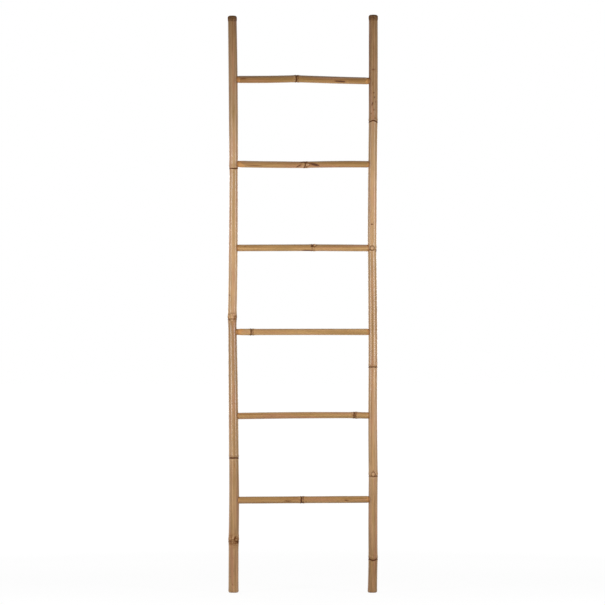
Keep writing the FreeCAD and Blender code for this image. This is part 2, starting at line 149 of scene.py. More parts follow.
# %% Dark marks
# A mark's place along and across the front of its culm, its half length and half width, all in
# millimetres, then how far it moves across for each step along, and its depth of colour.
Mark = namedtuple("Mark", "along across half_length half_width slope depth")
MARKS = {
    "left_stile": (
        Mark(27, -2.6, 4, 1.8, 0, 0.7),
        Mark(53, -10.5, 1.8, 3, 0, 0.6),
        Mark(148, 1, 2.4, 12, 0, 0.45),
        Mark(164, -7, 8, 4.5, 0.3, 0.6),
        Mark(166, 13, 5, 4, -0.5, 1.0),
        Mark(178, 3.5, 8, 3.4, 0.3, 0.9),
        Mark(190, -5, 3, 2.2, 0, 0.5),
        Mark(417, 1.5, 10, 4, 0, 0.40),
        Mark(903, 7, 12, 7, 0, 0.45),
        Mark(978, -10, 2, 4, 0, 0.9),
        Mark(1396, 8, 6, 7, 0.3, 0.40),
        Mark(1659, -13, 7, 2.2, 0, 0.5),
    ),
    "right_stile": (
        Mark(376, -9, 8, 3, -0.6, 0.35),
        Mark(378, 9.5, 7, 2.6, 0.5, 0.3),
        Mark(399, 0.5, 6, 1.8, 0, 0.6),
        Mark(827, 1, 40, 2.5, 0, 0.22),
        Mark(1124, 13.5, 4, 3, 0, 1.0),
        Mark(1124, -13, 3, 2.4, 0, 0.6),
        Mark(1190, 1, 6, 1.6, 0, 0.35),
        Mark(1211, -1, 2, 5, 0, 1.0),
        Mark(1560, 6, 4, 3, 0, 0.6),
        Mark(1575, -7, 3, 3, 0, 0.7),
        Mark(1587, 2, 4, 3, 0, 0.8),
        Mark(1606, -3, 8, 3, 0.2, 0.8),
        Mark(1613, 7, 4, 2.6, 0, 0.7),
        Mark(1628, 4, 4, 2.4, 0, 0.9),
        Mark(1643, 1.2, 3.2, 3, 0, 1.0),
        Mark(1672, -2, 7, 3, 0, 0.6),
        Mark(1719, 0, 4, 9, 0, 0.6),
        Mark(1735, -12.5, 140, 4.5, 0, 0.6),
        Mark(1791, 0.5, 9, 3.5, 0, 0.45),
        Mark(1830, 5, 5, 2, 0, 0.3),
    ),
    "rung_1": (
        Mark(121, -4.6, 20, 3.4, -0.04, 1.0),
        Mark(-196, 1.5, 13, 3.8, 0.05, 0.6),
    ),
    "rung_2": (
        Mark(38, -0.5, 18, 5.2, -0.28, 1.0),
        Mark(14, 3.5, 8, 1.8, -0.30, 0.6),
        Mark(-14, -4.0, 9, 2.6, 0.50, 0.9),
        Mark(-2, 7.0, 12, 2.0, 0, 0.8),
        Mark(-160, -4.5, 34, 2.4, -0.03, 0.7),
        Mark(-82, 4.0, 8, 1.6, 0, 0.5),
    ),
    "rung_3": (
        Mark(30, 5.5, 6, 4.6, 0.30, 0.9),
        Mark(12, -8.6, 18, 2.4, 0, 0.9),
        Mark(-191, 4.5, 3.4, 2.0, 0, 0.8),
        Mark(-162, -7.5, 4, 1.6, 0, 0.5),
    ),
    "rung_4": (
        Mark(92, 7.0, 9, 1.3, 0, 0.5),
        Mark(-156, -3.5, 3, 1.8, 0, 0.5),
    ),
    "rung_5": (
        Mark(-185, 3.0, 30, 3.5, 0, 0.30),
        Mark(165, 0, 8, 9.0, 0, 0.55),
    ),
    "rung_6": (
        Mark(-50, -3.5, 14, 2.8, 0, 0.7),
        Mark(10, -4.5, 3.4, 2.0, 0, 0.7),
        Mark(142, -2.0, 9, 2.8, -0.10, 0.75),
        Mark(145, 2.5, 5, 1.6, 0.10, 0.5),
    ),
}
print(sum(len(marks) for marks in MARKS.values()), "marks on", len(MARKS), "culms")

# %% [markdown]
# ## The blank
#
# Each culm starts as a blank: a straight outline of unit radius is cut into short steps, finer
# round the nodes, and spun round its own axis. The outline closes on the axis at both ends, so
# the blank is one watertight skin. It could be stacked from rings, but a spin of one outline
# gives even quads, and the ends' hollows and rounded edges are simply more points of the outline.

# %% Where a blank needs fine steps
NODE_REACH = 17 * MM
MARK_REACH = 2 * MM
LONG_MARK = 15  # a mark with a longer half length shows without fine steps


def busy_spans(name, places):
    """The spans with fine steps, round each place along the culm and its small marks."""
    spans = [(place - NODE_REACH, place + NODE_REACH) for place in places]
    for mark in MARKS[name]:
        if mark.half_length < LONG_MARK:
            reach = mark.half_length * MM + MARK_REACH
            spans.append((mark.along * MM - reach, mark.along * MM + reach))
    return spans


def skin_points(low, high, spans):
    """The skin's corners between two heights, where each busy span begins and ends."""
    limits = {limit for span in spans for limit in span}
    return [(1, height) for height in sorted(limits) if low < height < high]


print("small marks on the left stile:", len(busy_spans("left_stile", [])))

# %% A spun blank
MERGE_DISTANCE = 1e-7


def add_outline(bm, points):
    """A chain of edges through points that are a share of the radius and a height."""
    corners = [bm.verts.new((share, 0, height)) for share, height in points]
    return [bm.edges.new(pair) for pair in zip(corners, corners[1:])]


def cut_outline(bm, edges, spans, fine, coarse):
    """Cut the outline's upright stretches into steps, fine within a busy span."""
    for edge in edges:
        low, high = sorted(corner.co.z for corner in edge.verts)
        near = any(start < (low + high) / 2 < end for start, end in spans)
        cuts = int((high - low) / (fine if near else coarse))
        if cuts:
            bmesh.ops.subdivide_edges(bm, edges=[edge], cuts=cuts)


def spin_blank(points, spans, fine, coarse, segments):
    """The outline cut and spun into a closed blank along z."""
    bm = bmesh.new()
    edges = add_outline(bm, points)
    cut_outline(bm, edges, spans, fine, coarse)
    bmesh.ops.spin(bm, geom=bm.verts[:] + bm.edges[:], cent=(0, 0, 0), axis=(0, 0, 1),
                   angle=2 * math.pi, steps=segments, use_merge=True)
    bmesh.ops.remove_doubles(bm, verts=bm.verts[:], dist=MERGE_DISTANCE)
    return bm


def rounded(share, height, inset, drop, steps=6):
    """Points of a quarter round that ends at the given edge, from the side to the end face."""
    turns = [math.pi / 2 * step / steps for step in range(steps + 1)]
    return [(share - inset * (1 - math.cos(turn)), height - drop * (1 - math.sin(turn)))
            for turn in turns]


print("a unit quarter round's middle:", [round(value, 3) for value in rounded(1, 0, 1, 1)[3]])

# %% [markdown]
# ## The culm's own form
#
# A vertex of the blank knows only how far along and how far round it is. These functions say
# where the skin is there. Displacement by one noise would be quicker, but it knows nothing of
# nodes. So a node's relief is a sum of smooth bumps: a flare, the thin lip of the scar, a waist,
# and the ridge.

# %% Smooth steps and bumps
def smooth(low, high, value):
    """0 at low, 1 at high, and a smooth rise between them. Low may be the higher of the two."""
    share = min(max((value - low) / (high - low), 0), 1)
    return share * share * (3 - 2 * share)


def bump(value, centre, width):
    return math.exp(-((value - centre) / width) ** 2)


def mix(first, second, share):
    return first + (second - first) * share


def swing(angle, middle):
    """How far an angle is from the middle one, from -pi to pi."""
    return (angle - middle + math.pi) % (2 * math.pi) - math.pi


print("a bump one width from its centre:", round(bump(1, 0, 1), 2))

# %% A node's relief
# A ring round the culm: its height, its centre past the scar and its width, in millimetres.
Ring = namedtuple("Ring", "height centre width")
LIP = Ring(0.55, -0.8, 1.1)
WAIST = Ring(-0.6, 1.8, 1.5)
RIDGE = Ring(0.6, 8, 4)
SWELLING = Ring(0.4, 3, 12)  # on a rough node only
FLARE = 0.35                 # how far the culm flares out below the scar, in millimetres
FLARE_LENGTH = 4 * MM
FLARE_END = 2 * MM           # how far past the scar it is gone


def raised(ring, past):
    return ring.height * bump(past, ring.centre * MM, ring.width * MM)


def node_relief(past, rough):
    """How far the skin stands out near a node, by the distance past its scar."""
    flare = FLARE * math.exp(min(past, 0) / FLARE_LENGTH) * (1 - smooth(0, FLARE_END, past))
    rings = raised(LIP, past) + raised(WAIST, past) + raised(RIDGE, past)
    return (flare + rings + rough * raised(SWELLING, past)) * MM


print("a node's relief at its ridge:", round(node_relief(RIDGE.centre * MM, 0) / MM, 2), "mm")

# %% Where a culm's skin is
LIFT_WIDTH = 0.6            # how far round a scar's lift reaches, as an angle
WAVER = 0.35 * MM           # how far a scar strays from its even line
WAVER_PACE = 2              # and how quickly it does round the culm
STEP_START = -1 * MM        # where the size below a scar starts to change to the one above it
STEP_END = 4 * MM
BUD_WIDTH = 15 * MM
BUD_LENGTH = 16 * MM
BUD_MIDDLE = 8 * MM         # how far a bud's middle is past the scar
BUD_POINT = 1.5             # how pointed a bud is: 1 is a diamond and 2 an oval
GROOVE_WIDTH = 5 * MM
GROOVE_RISE = (0.02, 0.10)  # the shares of the internode where a groove begins and is full
GROOVE_FALL = (0.55, 0.97)  # and where it starts to fade and is gone
BRIM_PLACE = 1.7            # how far out a groove's raised brim is, in groove widths
BRIM_WIDTH = 3 * MM
BRIM_SHARE = 0.35


class Culm:
    """A culm's internodes and nodes, which answer what is where along and round it."""

    def __init__(self, internodes, nodes, groove_depth, rough_reach, start=0.0):
        self.internodes = internodes
        self.nodes = nodes
        self.groove_depth = groove_depth
        self.rough_reach = rough_reach
        self.heights = [start]
        for internode in internodes:
            self.heights.append(self.heights[-1] + internode.length * MM)

    def scar(self, number, angle):
        """How far along the culm a node's scar is on the side at that angle."""
        lift = self.nodes[number].lift * MM * bump(swing(angle, FRONT), 0, LIFT_WIDTH)
        round_it = Vector((WAVER_PACE * math.cos(angle), WAVER_PACE * math.sin(angle), number))
        return self.heights[number] + lift + WAVER * noise.noise(round_it)

    def place(self, along):
        """The number of the internode there, and the share of it that lies below."""
        last = len(self.internodes) - 1
        number = max([n for n in range(last + 1) if self.heights[n] <= along] or [0])
        low, high = self.heights[number], self.heights[number + 1]
        return number, (along - low) / (high - low)

    def read(self, along):
        """The centre line's shift, the plain radius and the paleness."""
        number, share = self.place(along)
        here = self.internodes[number]
        hump = 4 * share * (1 - share)
        line = mix(self.nodes[number].shift, self.nodes[number + 1].shift, share)
        belly = here.middle - (here.start + here.end) / 2
        diameter = mix(here.start, here.end, share) + belly * hump
        pale = mix(here.pale, here.pale_end, share)
        if number:
            below = self.internodes[number - 1]
            past = smooth(STEP_START, STEP_END, along - self.heights[number])
            diameter = mix(below.end, diameter, past)
            pale = mix(below.pale_end, pale, past)
        return (line + here.bow * hump) * MM, diameter / 2 * MM, pale

    def nearest(self, along):
        """The number of the nearest node, apart from the culm's two ends."""
        inner = range(1, len(self.nodes) - 1)
        return min(inner, key=lambda number: abs(along - self.heights[number]))

    def bud(self, past, arc):
        """The distance from a bud's middle, where 1 is its edge."""
        across = abs(arc) / (BUD_WIDTH / 2)
        up = abs(past - BUD_MIDDLE) / (BUD_LENGTH / 2)
        return (across ** BUD_POINT + up ** BUD_POINT) ** (1 / BUD_POINT)

    def groove(self, along, angle, radius):
        """How deep the groove above the lower node's bud is, up to 1, and below 0 on its brims."""
        number, share = self.place(along)
        if number == 0:
            return 0.0
        arc = swing(angle, self.nodes[number].bud) * radius
        run = smooth(*GROOVE_RISE, share) * (1 - smooth(*GROOVE_FALL, share))
        brim = bump(abs(arc), BRIM_PLACE * GROOVE_WIDTH, BRIM_WIDTH)
        return run * (bump(arc, 0, GROOVE_WIDTH) - BRIM_SHARE * brim)


print("a bud is", BUD_WIDTH, "by", BUD_LENGTH, "m, and a groove", GROOVE_WIDTH, "m wide")

# %% [markdown]
# ## From blank to culm
#
# The same walk over the blank's vertices also leaves notes on them, as named attributes: how far
# past a scar they are, how pale the internode is, where a mark, a cut or a joint is. The finishes
# read those later. They could be worked out again in the shader, but then colour and form would
# drift apart as soon as a number changed.

# %% Small forms on the skin
WAVES = 0.08           # how high the slow waves along a culm are, in millimetres
WAVE_LENGTH = 45 * MM
WAVE_PACE = 1.3        # how quickly they change round the culm
ROUGH_WAVES = 0.4      # and the same for the quick waves of a rough node
ROUGH_WAVE_LENGTH = 5 * MM
ROUGH_WAVE_PACE = 4
BUD_EDGE = 1.0         # how far from a bud's middle the skin starts to rise
BUD_TOP = 0.35         # and where it stands out fully
NO_BUD = 2             # a distance at which no bud shows
MOAT_DEPTH = 0.4 * MM  # the fine hollow round a bud
MOAT_PLACE = 1.1
MOAT_WIDTH = 0.16


def unevenness(along, angle, seed, rough):
    """Slow waves all along the culm, and quicker ones where a node is rough."""
    round_it = Vector((math.cos(angle), math.sin(angle), 0))
    slow = noise.noise(WAVE_PACE * round_it + Vector((0, 0, along / WAVE_LENGTH + seed)))
    quick_place = Vector((0, 0, along / ROUGH_WAVE_LENGTH + seed))
    quick = noise.noise(ROUGH_WAVE_PACE * round_it + quick_place)
    return (WAVES * slow + ROUGH_WAVES * rough * quick) * MM


def bud_relief(rise, near):
    """How far the skin stands out on a bud, or lies in round it."""
    swell = rise * MM * smooth(BUD_EDGE, BUD_TOP, near)
    return swell - MOAT_DEPTH * bump(near, MOAT_PLACE, MOAT_WIDTH)


def mark_depth(name, along, across):
    """How strongly a culm's marks colour its front there."""
    depth = 0
    for mark in MARKS[name]:
        past = along / MM - mark.along
        far = past / mark.half_length
        off = (across / MM - mark.across - mark.slope * past) / mark.half_width
        depth = max(depth, mark.depth * math.exp(-far ** 4 - off * off))
    return depth


print("a bud's relief at its middle:", round(bud_relief(1, 0) / MM, 2), "times its rise")

# %% Shape a blank
NOTES = ("past_scar", "scar_dark", "rough", "pale", "bud", "mark", "shaved", "cut", "joint", "cap")
ROUGH_MIDDLE = 0.2  # how far past its scar a rough patch is centred, in its reaches
CLEAR_SHARE = 0.6   # how much of a scar's darkness is missing under its bud
CLEAR_WIDTH = 0.4   # and how far round, as an angle
BUD_NOTE = 1.4      # the note of a bud ends at this distance from its middle
CUT_INSIDE = 0.7    # an end's cut face is within this share of the radius
CUT_OUTSIDE = 0.98


def skin_at(culm, name, seed, along, angle):
    """The culm's shift and radius in one place, and the notes of what is there."""
    shift, radius, pale = culm.read(along)
    number = culm.nearest(along)
    node = culm.nodes[number]
    past = along - culm.scar(number, angle)
    rough = node.rough * bump(past, ROUGH_MIDDLE * culm.rough_reach, culm.rough_reach)
    aside = swing(angle, node.bud)
    near = culm.bud(past, aside * radius) if node.bud_rise else NO_BUD
    groove = culm.groove(along, angle, radius)
    radius += node_relief(past, node.rough) + unevenness(along, angle, seed, rough)
    radius += bud_relief(node.bud_rise, near) - groove * culm.groove_depth
    dark = node.dark * (1 - CLEAR_SHARE * bump(aside, 0, CLEAR_WIDTH))
    found = {"past_scar": past, "scar_dark": dark, "rough": rough, "pale": pale,
             "bud": max(0, BUD_NOTE - near)}
    if math.cos(angle) > 0:
        found["mark"] = mark_depth(name, along, radius * math.sin(angle))
    return shift, radius, found


def shape_culm(bm, culm, name, seed, extra, lay):
    """Move each vertex of the blank to the culm's skin and note what is there.

    extra gives more notes and a change of radius, and lay turns a place on the culm into one in
    the ladder."""
    notes = {note: bm.verts.layers.float.new(note) for note in NOTES}
    for vertex in bm.verts:
        along = vertex.co.z
        share = math.hypot(vertex.co.x, vertex.co.y)
        angle = math.atan2(vertex.co.x, -vertex.co.y)
        shift, radius, found = skin_at(culm, name, seed, along, angle)
        found["cut"] = 1 - smooth(CUT_INSIDE, CUT_OUTSIDE, share)
        radius += extra(along, angle, radius, found)
        for note, value in found.items():
            vertex[notes[note]] = value
        vertex.co = lay(shift, radius * share, angle, along)
    bmesh.ops.recalc_face_normals(bm, faces=bm.faces[:])


print("notes on each vertex:", ", ".join(NOTES))

# %% Finish a piece
SHARP = math.radians(50)  # an edge that turns more than this stays sharp


def finish_piece(bm, node):
    """Turn the shaped blank into a smooth object that stands for its CAD node."""
    name = f"{node}_culm"
    for face in bm.faces:
        face.smooth = True
    mesh = bpy.data.meshes.new(name)
    bm.to_mesh(mesh)
    bm.free()
    piece = bpy.data.objects.new(name, mesh)
    bpy.context.scene.collection.objects.link(piece)
    mesh.set_sharp_from_angle(angle=SHARP)
    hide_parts(node)
    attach(piece, "root")
    print(name, len(mesh.polygons), "faces")
    return piece


# %% [markdown]
# ## The stiles
#
# Each stile is cut just above its highest node, which leaves a rounded, weathered cap with a
# shallow cup in it. The left stile is cut between two nodes at its foot, so its hollow is open
# there. The right one is cut at a node and closed. The caps and feet could be pieces of their
# own, but a real one is the same culm, so they are points of the same outline. Where a rung goes
# in, the skin round the joint is darkened with painted shade.

# %% A stile's outline
STILE_RADIUS = 15 * MM  # what the outline's shares are worked out from
CAP_ROUND = 7 * MM
CUP_DEPTH = 3 * MM
CUP_SHARE = 0.48        # how wide the cup is, as a share of the radius
CUP_SLOPE = 0.05        # and how much less at its bottom
FOOT_ROUND = 6.5 * MM   # how high the rounding of a foot's edge reaches
FOOT_INSET = 4 * MM     # and how far in, which leaves some of the open foot's wall
WALL_SHARE = 0.71       # the open foot's hollow, as a share of the radius


def stile_outline(top, spans, open_to):
    """The outline from the foot to the cap's cup. An open foot is hollow up to open_to."""
    hollow = [(0, open_to), (WALL_SHARE, open_to), (WALL_SHARE, 0)] if open_to else [(0, 0)]
    foot = rounded(1, 0, FOOT_INSET / STILE_RADIUS, -FOOT_ROUND)[::-1]
    skin = skin_points(FOOT_ROUND, top - CAP_ROUND, spans)
    cap = rounded(1, top, CAP_ROUND / STILE_RADIUS, CAP_ROUND)
    cup = [(CUP_SHARE, top), (CUP_SHARE - CUP_SLOPE, top - CUP_DEPTH), (0, top - CUP_DEPTH)]
    return hollow + foot + skin + cap + cup


print("a plain stile's outline:", len(stile_outline(1, [], None)), "points")

# %% A stile's ends and joints
CAP_BULGE = 0.7 * MM
CAP_BULGE_RUN = (19 * MM, 12 * MM)   # how far below the top it begins and is full
FOOT_BULGE = 0.5 * MM
FOOT_BULGE_RUN = (16 * MM, 5 * MM)   # and how far above the floor
CAP_SPECKS_RUN = (23 * MM, 15 * MM)  # how far below the top the specks begin and are full
# Round each joint the stile's skin is darkened with painted shade, where the rung meets it.
JOINT_RADIUS = 11 * MM
JOINT_SHADE = 2.5 * MM               # how far round a joint the skin is dark


def end_bulge(along, below):
    """How far the skin bulges above the foot, and below the top."""
    return CAP_BULGE * smooth(*CAP_BULGE_RUN, below) + FOOT_BULGE * smooth(*FOOT_BULGE_RUN, along)


def rung_height(number):
    """The height of a rung's straight line. Number 1 is the top one."""
    return LOWEST_RUNG + RUNG_PITCH * (len(RUNGS) - number)


def joint_shade(along, aside):
    """How dark the painted shade on a stile's inner side is, by height and distance from the
    middle line.
    """
    heights = [rung_height(number) for number in range(1, len(RUNGS) + 1)]
    gap = min(math.hypot(along - height, aside) for height in heights)
    return bump(max(gap - JOINT_RADIUS, 0), 0, JOINT_SHADE)


print("the highest rung is at", round(rung_height(1), 3), "m")

# %% Make the stiles
STILE_STEPS = {"fine": 0.8 * MM, "coarse": 5 * MM, "segments": 96}
STILE_GROOVE = 0.9 * MM
STILE_ROUGH_REACH = 18 * MM
OVAL = 0.983         # a stile is a little thinner from front to back
HOLLOW_END = 2 * MM  # how far below the lowest node the open hollow ends
STILE_SEED = 10


def make_stile(side, table, sign, open_to):
    name = f"{side}_stile"
    culm = Culm(table["internodes"], table["nodes"], STILE_GROOVE, STILE_ROUGH_REACH)
    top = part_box(name)[1].z

    def extra(along, angle, radius, found):
        """The bulges of the cap and foot, and the notes of the cap and of the joints' painted
        shade.
        """
        below = top - along
        inward = -sign * math.sin(angle) > 0
        found["cap"] = smooth(*CAP_SPECKS_RUN, below)
        # The joint note carries painted shade on the side that faces the rungs.
        found["joint"] = joint_shade(along, radius * math.cos(angle)) if inward else 0
        return end_bulge(along, below)

    def lay(shift, radius, angle, along):
        x = sign * STILE_SPACING / 2 + shift + radius * math.sin(angle)
        return Vector((x, -OVAL * radius * math.cos(angle), along))

    spans = busy_spans(name, culm.heights[1:])
    bm = spin_blank(stile_outline(top, spans, open_to), spans, **STILE_STEPS)
    shape_culm(bm, culm, name, STILE_SEED * sign, extra, lay)
    return finish_piece(bm, name)


lowest_node = LEFT_STILE["internodes"][0].length * MM
left_stile = make_stile("left", LEFT_STILE, -1, lowest_node - HOLLOW_END)
right_stile = make_stile("right", RIGHT_STILE, 1, None)

# %% [markdown]
# ## The rungs
#
# A rung lies along x, with its one node where that culm has it. Each end is whittled with a knife
# until it fits the stile's hole, which leaves a short paler slope with slight facets. A boolean
# could cut them, but the same walk over the vertices thins the ends more evenly. The dark marks
# are where a sheath or a neighbour rubbed while the culm grew.

# %% A rung's whittled ends
WHITTLED = 1 * MM  # what the knife took off the radius
FACETS = 7
FACET_DEPTH = 0.12 * MM
RAGGED = 0.35      # how unevenly a slope begins, and in how many waves round it
RAGGED_WAVES = 3


def slope_length(shave, angle, number):
    """How far from the stile's skin a whittled slope begins on the side at that angle."""
    return shave * MM * (1 + RAGGED * math.cos(RAGGED_WAVES * angle + number))


def whittle(angle, number, depth):
    """The change of radius where the knife went that deep, from 0 to 1, with its facets."""
    return (FACET_DEPTH * math.cos(FACETS * angle + number) - WHITTLED) * depth


print("the knife takes", WHITTLED, "m off the radius")

# %% Make the rungs
RUNG_STEPS = {"fine": 0.8 * MM, "coarse": 2 * MM, "segments": 64}
RUNG_GROOVE = 0.5 * MM
RUNG_ROUGH_REACH = 9 * MM
RUNG_BUD = 1.3           # how far a rung's bud stands out, in millimetres
STILE_SKIN = 214.4 * MM  # from the ladder's middle to where a rung meets its stile
# A rung is darkened next to its stile with painted shade.
RUNG_SHADE = 2.2 * MM    # how far from its stile a rung is dark
SHAVE_MIDDLE = 5 * MM    # how far from its stile a whittled slope is centred
TENON_EDGE = 0.4 * MM    # the tenon's chamfer along the rung
TENON_FACE = 0.95        # and its end face, as a share of the radius


def make_rung(number, table):
    name = f"rung_{number}"
    low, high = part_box(name)
    left_shift, node_shift, right_shift = table["shifts"]
    nodes = (Node(left_shift, 0, 0, 0, BACK, 0), Node(node_shift, *table["node"], RUNG_BUD),
             Node(right_shift, 0, 0, 0, BACK, 0))
    internodes = (table["left"], table["right"])
    culm = Culm(internodes, nodes, RUNG_GROOVE, RUNG_ROUGH_REACH, -STILE_SPACING / 2)

    def extra(along, angle, radius, found):
        """The whittled ends, and the notes of those and of the painted shade at the joints."""
        slope = slope_length(table["shaves"][0 if along < 0 else 1], angle, number)
        to_skin = STILE_SKIN - abs(along)
        found["shaved"] = slope - to_skin
        # The joint note is painted shade next to the stile.
        found["joint"] = bump(max(to_skin, 0), 0, RUNG_SHADE)
        return whittle(angle, number, smooth(0, slope, slope - to_skin))

    def lay(shift, radius, angle, along):
        height = rung_height(number) + shift + radius * math.sin(angle)
        return Vector((along, -radius * math.cos(angle), height))

    slopes = STILE_SKIN - SHAVE_MIDDLE
    spans = busy_spans(name, [-slopes, culm.heights[1], slopes])
    left_end = [(0, low.x), (TENON_FACE, low.x), (1, low.x + TENON_EDGE)]
    right_end = [(1, high.x - TENON_EDGE), (TENON_FACE, high.x), (0, high.x)]
    points = left_end + skin_points(low.x, high.x, spans) + right_end
    bm = spin_blank(points, spans, **RUNG_STEPS)
    shape_culm(bm, culm, name, number, extra, lay)
    return finish_piece(bm, name)


rungs = [make_rung(number, table) for number, table in enumerate(RUNGS, 1)]

# %% [markdown]
# ## A little language for finishes
#
# A finish is a tree of shader nodes. Written node by node it is hard to read, so one class makes
# nodes, and another wraps a node's output so that sums read as sums.

# %% Readings
class Reading:
    """A node's output. Sums, differences and products of it add Math nodes."""

    def __init__(self, finish, socket):
        self.finish = finish
        self.socket = socket

    def math(self, operation, *values):
        inputs = dict(enumerate(values))
        return self.finish.node("ShaderNodeMath", {"operation": operation}, inputs)

    def __add__(self, other):
        return self.math("ADD", self, other)

    def __sub__(self, other):
        return self.math("SUBTRACT", self, other)

    def __rsub__(self, other):
        return self.math("SUBTRACT", other, self)

    def __mul__(self, other):
        return self.math("MULTIPLY", self, other)

    __radd__ = __add__
    __rmul__ = __mul__

    def rise(self, low, high):
        """A smooth rise from 0 at low to 1 at high, or a fall where low is the higher."""
        settings = {"interpolation_type": "SMOOTHSTEP"}
        inputs = {"Value": self, "From Min": low, "From Max": high}
        return self.finish.node("ShaderNodeMapRange", settings, inputs)

    def near(self, centre, width):
        """A smooth bump of 1 at the centre that is gone a width away."""
        return self.math("ABSOLUTE", self - centre).rise(width, 0)


print("reflected forms:", [name for name in vars(Reading) if name.startswith("__r")])

# %% Finishes
MILLIMETRES = 1000  # in a metre, the unit of Object coordinates
# A Mix node's sockets when it mixes colours, the last one its output.
MIX_SHARE, MIX_FIRST, MIX_SECOND, MIX_COLOUR = 0, 6, 7, 2


class Finish:
    """A material's or a world's nodes, built from readings."""

    def __init__(self, owner, shader="Principled BSDF"):
        owner.use_nodes = True
        self.tree = owner.node_tree
        self.shader = self.tree.nodes[shader]

    def set(self, socket, value):
        """Link a reading to a socket, or set a plain value on it."""
        if isinstance(value, Reading):
            self.tree.links.new(value.socket, socket)
        else:
            socket.default_value = value

    def node(self, kind, settings=None, inputs=None, output=0):
        """Any node: its settings first, then its inputs, and the chosen output as a reading."""
        node = self.tree.nodes.new(kind)
        for name, value in (settings or {}).items():
            setattr(node, name, value)
        for name, value in (inputs or {}).items():
            self.set(node.inputs[name], value)
        return Reading(self, node.outputs[output])

    def note(self, name):
        """A note that shape_culm left on the mesh."""
        return self.node("ShaderNodeAttribute", {"attribute_name": name}, output="Fac")

    def grain(self, size, detail=3.0, shift=0.0):
        """Noise whose size along each axis is given in millimetres."""
        place = self.node("ShaderNodeTexCoord", output="Object")
        mapped = self.node("ShaderNodeMapping", inputs={
            "Vector": place,
            "Scale": [MILLIMETRES / side for side in size],
            "Location": (shift, shift, shift),
        })
        inputs = {"Vector": mapped, "Scale": 1.0, "Detail": detail}
        return self.node("ShaderNodeTexNoise", inputs=inputs)

    def blend(self, first, second, share):
        """A colour between two colours."""
        inputs = {MIX_SHARE: share, MIX_FIRST: first, MIX_SECOND: second}
        return self.node("ShaderNodeMix", {"data_type": "RGBA"}, inputs, MIX_COLOUR)

    def bump(self, height, distance):
        inputs = {"Height": height, "Distance": distance, "Strength": 1.0}
        return self.node("ShaderNodeBump", inputs=inputs)

    def seen(self):
        """1 where the camera sees this directly, in a reflection or through glass, else 0."""
        return sum(self.node("ShaderNodeLightPath", output=f"Is {kind} Ray")
                   for kind in ("Camera", "Glossy", "Transmission"))

    def surface(self, **values):
        """Set the shader's own sockets, named with underscores for spaces."""
        for name, value in values.items():
            self.set(self.shader.inputs[name.replace("_", " ")], value)


def paint(red, green, blue):
    """A colour picked on a screen, 0 to 255, as the shader's linear one, by the sRGB curve."""
    def linear(level):
        share = level / 255
        return share / 12.92 if share <= 0.04045 else ((share + 0.055) / 1.055) ** 2.4
    return linear(red), linear(green), linear(blue), 1.0


print("a mid bamboo:", [round(level, 3) for level in paint(176, 138, 96)])

# %% [markdown]
# ## Bamboo
#
# Seasoned bamboo is honey brown, with long fibres along the culm, paler where the sun bleached it
# and olive brown near the top. A picture wrapped round each culm would show a seam and one fixed
# light, so the skin is made of noises instead. They are stretched along the culm, and a stile and
# a rung differ only in the direction of the stretch and in their colours.

# %% The palette
STILE_DARK = paint(122, 80, 24)
STILE_PALE = paint(208, 168, 122)
RUNG_DARK = paint(136, 88, 18)
RUNG_PALE = paint(210, 168, 112)
ROSE = paint(178, 122, 92)
OLIVE = paint(150, 118, 58)
SCAR = paint(78, 38, 8)
WAX = paint(204, 172, 134)
STAIN = paint(112, 64, 20)
WHITTLED_WOOD = paint(204, 146, 86)
END_GRAIN = paint(150, 114, 74)
CAP_SPECK = paint(66, 36, 12)
BUD_SKIN = paint(214, 172, 132)
PEG_DARK = paint(150, 110, 66)
PEG_PALE = paint(206, 166, 112)
print("the stiles' pale skin:", [round(level, 3) for level in STILE_PALE])

# %% The skin's noises
# How wide and how long a noise's patches are, in millimetres, its detail and its shift.
GRAINS = {
    "fibre": (0.9, 60, 3, 0),
    "streak": (4.5, 380, 3, 3),
    "cloud": (26, 90, 3, 7),
    "tint": (13, 170, 3, 23),
    "fleck": (2.2, 7, 2, 11),
    "patch": (11, 13, 3, 17),
    "speck": (2.6, 2.6, 3, 5),
    "flake": (6, 6, 3, 29),
}
MIDDLE = 0.5  # a noise's middle value
ALONG_X, ALONG_Z = 0, 2


class Skin:
    """A culm's skin in the making: its finish, its noises by name and its colour so far."""

    def __init__(self, name, along, colour):
        self.material = bpy.data.materials.new(name)
        self.finish = Finish(self.material)
        self.colour = colour
        for grain, (across, length, detail, shift) in GRAINS.items():
            size = [length if axis == along else across for axis in range(3)]
            setattr(self, grain, self.finish.grain(size, detail, shift))

    def note(self, name):
        return self.finish.note(name)

    def cover(self, colour, share):
        """Lay another colour over the skin, as strongly as the share says."""
        self.colour = self.finish.blend(self.colour, colour, share)


print("noises:", ", ".join(GRAINS))

# %% The plain skin
STREAK_SHARE = 1.5
FIBRE_SHARE = 0.4
CLOUD_SHARE = 0.6
PALE_RANGE = (-0.35, 1.25)
ROSE_RANGE = (0.50, 0.68)
ROSE_COVER = 0.45
OLIVE_RANGE = (0.48, 0.30)
OLIVE_COVER = 0.40


def add_pale_and_tints(skin, pale_skin):
    """Streaks, fibres and clouds of pale skin, tinted rose here and olive there."""
    pale = (skin.note("pale") + STREAK_SHARE * (skin.streak - MIDDLE)
            + FIBRE_SHARE * (skin.fibre - MIDDLE) + CLOUD_SHARE * (skin.cloud - MIDDLE))
    skin.cover(pale_skin, pale.rise(*PALE_RANGE))
    skin.cover(ROSE, ROSE_COVER * skin.tint.rise(*ROSE_RANGE))
    skin.cover(OLIVE, OLIVE_COVER * skin.tint.rise(*OLIVE_RANGE))


print("streaks change the paleness by up to", STREAK_SHARE * MIDDLE)

# %% [markdown]
# ## Nodes and buds
#
# Just below a scar the culm keeps a pale bloom of wax. The scar is a thin dark line, on some
# culms with a second one on the ridge. Where a node is rough, its skin flakes and stains. The
# notes say how far past a scar each place is, so these are simply bands of that distance, broken
# by noise.

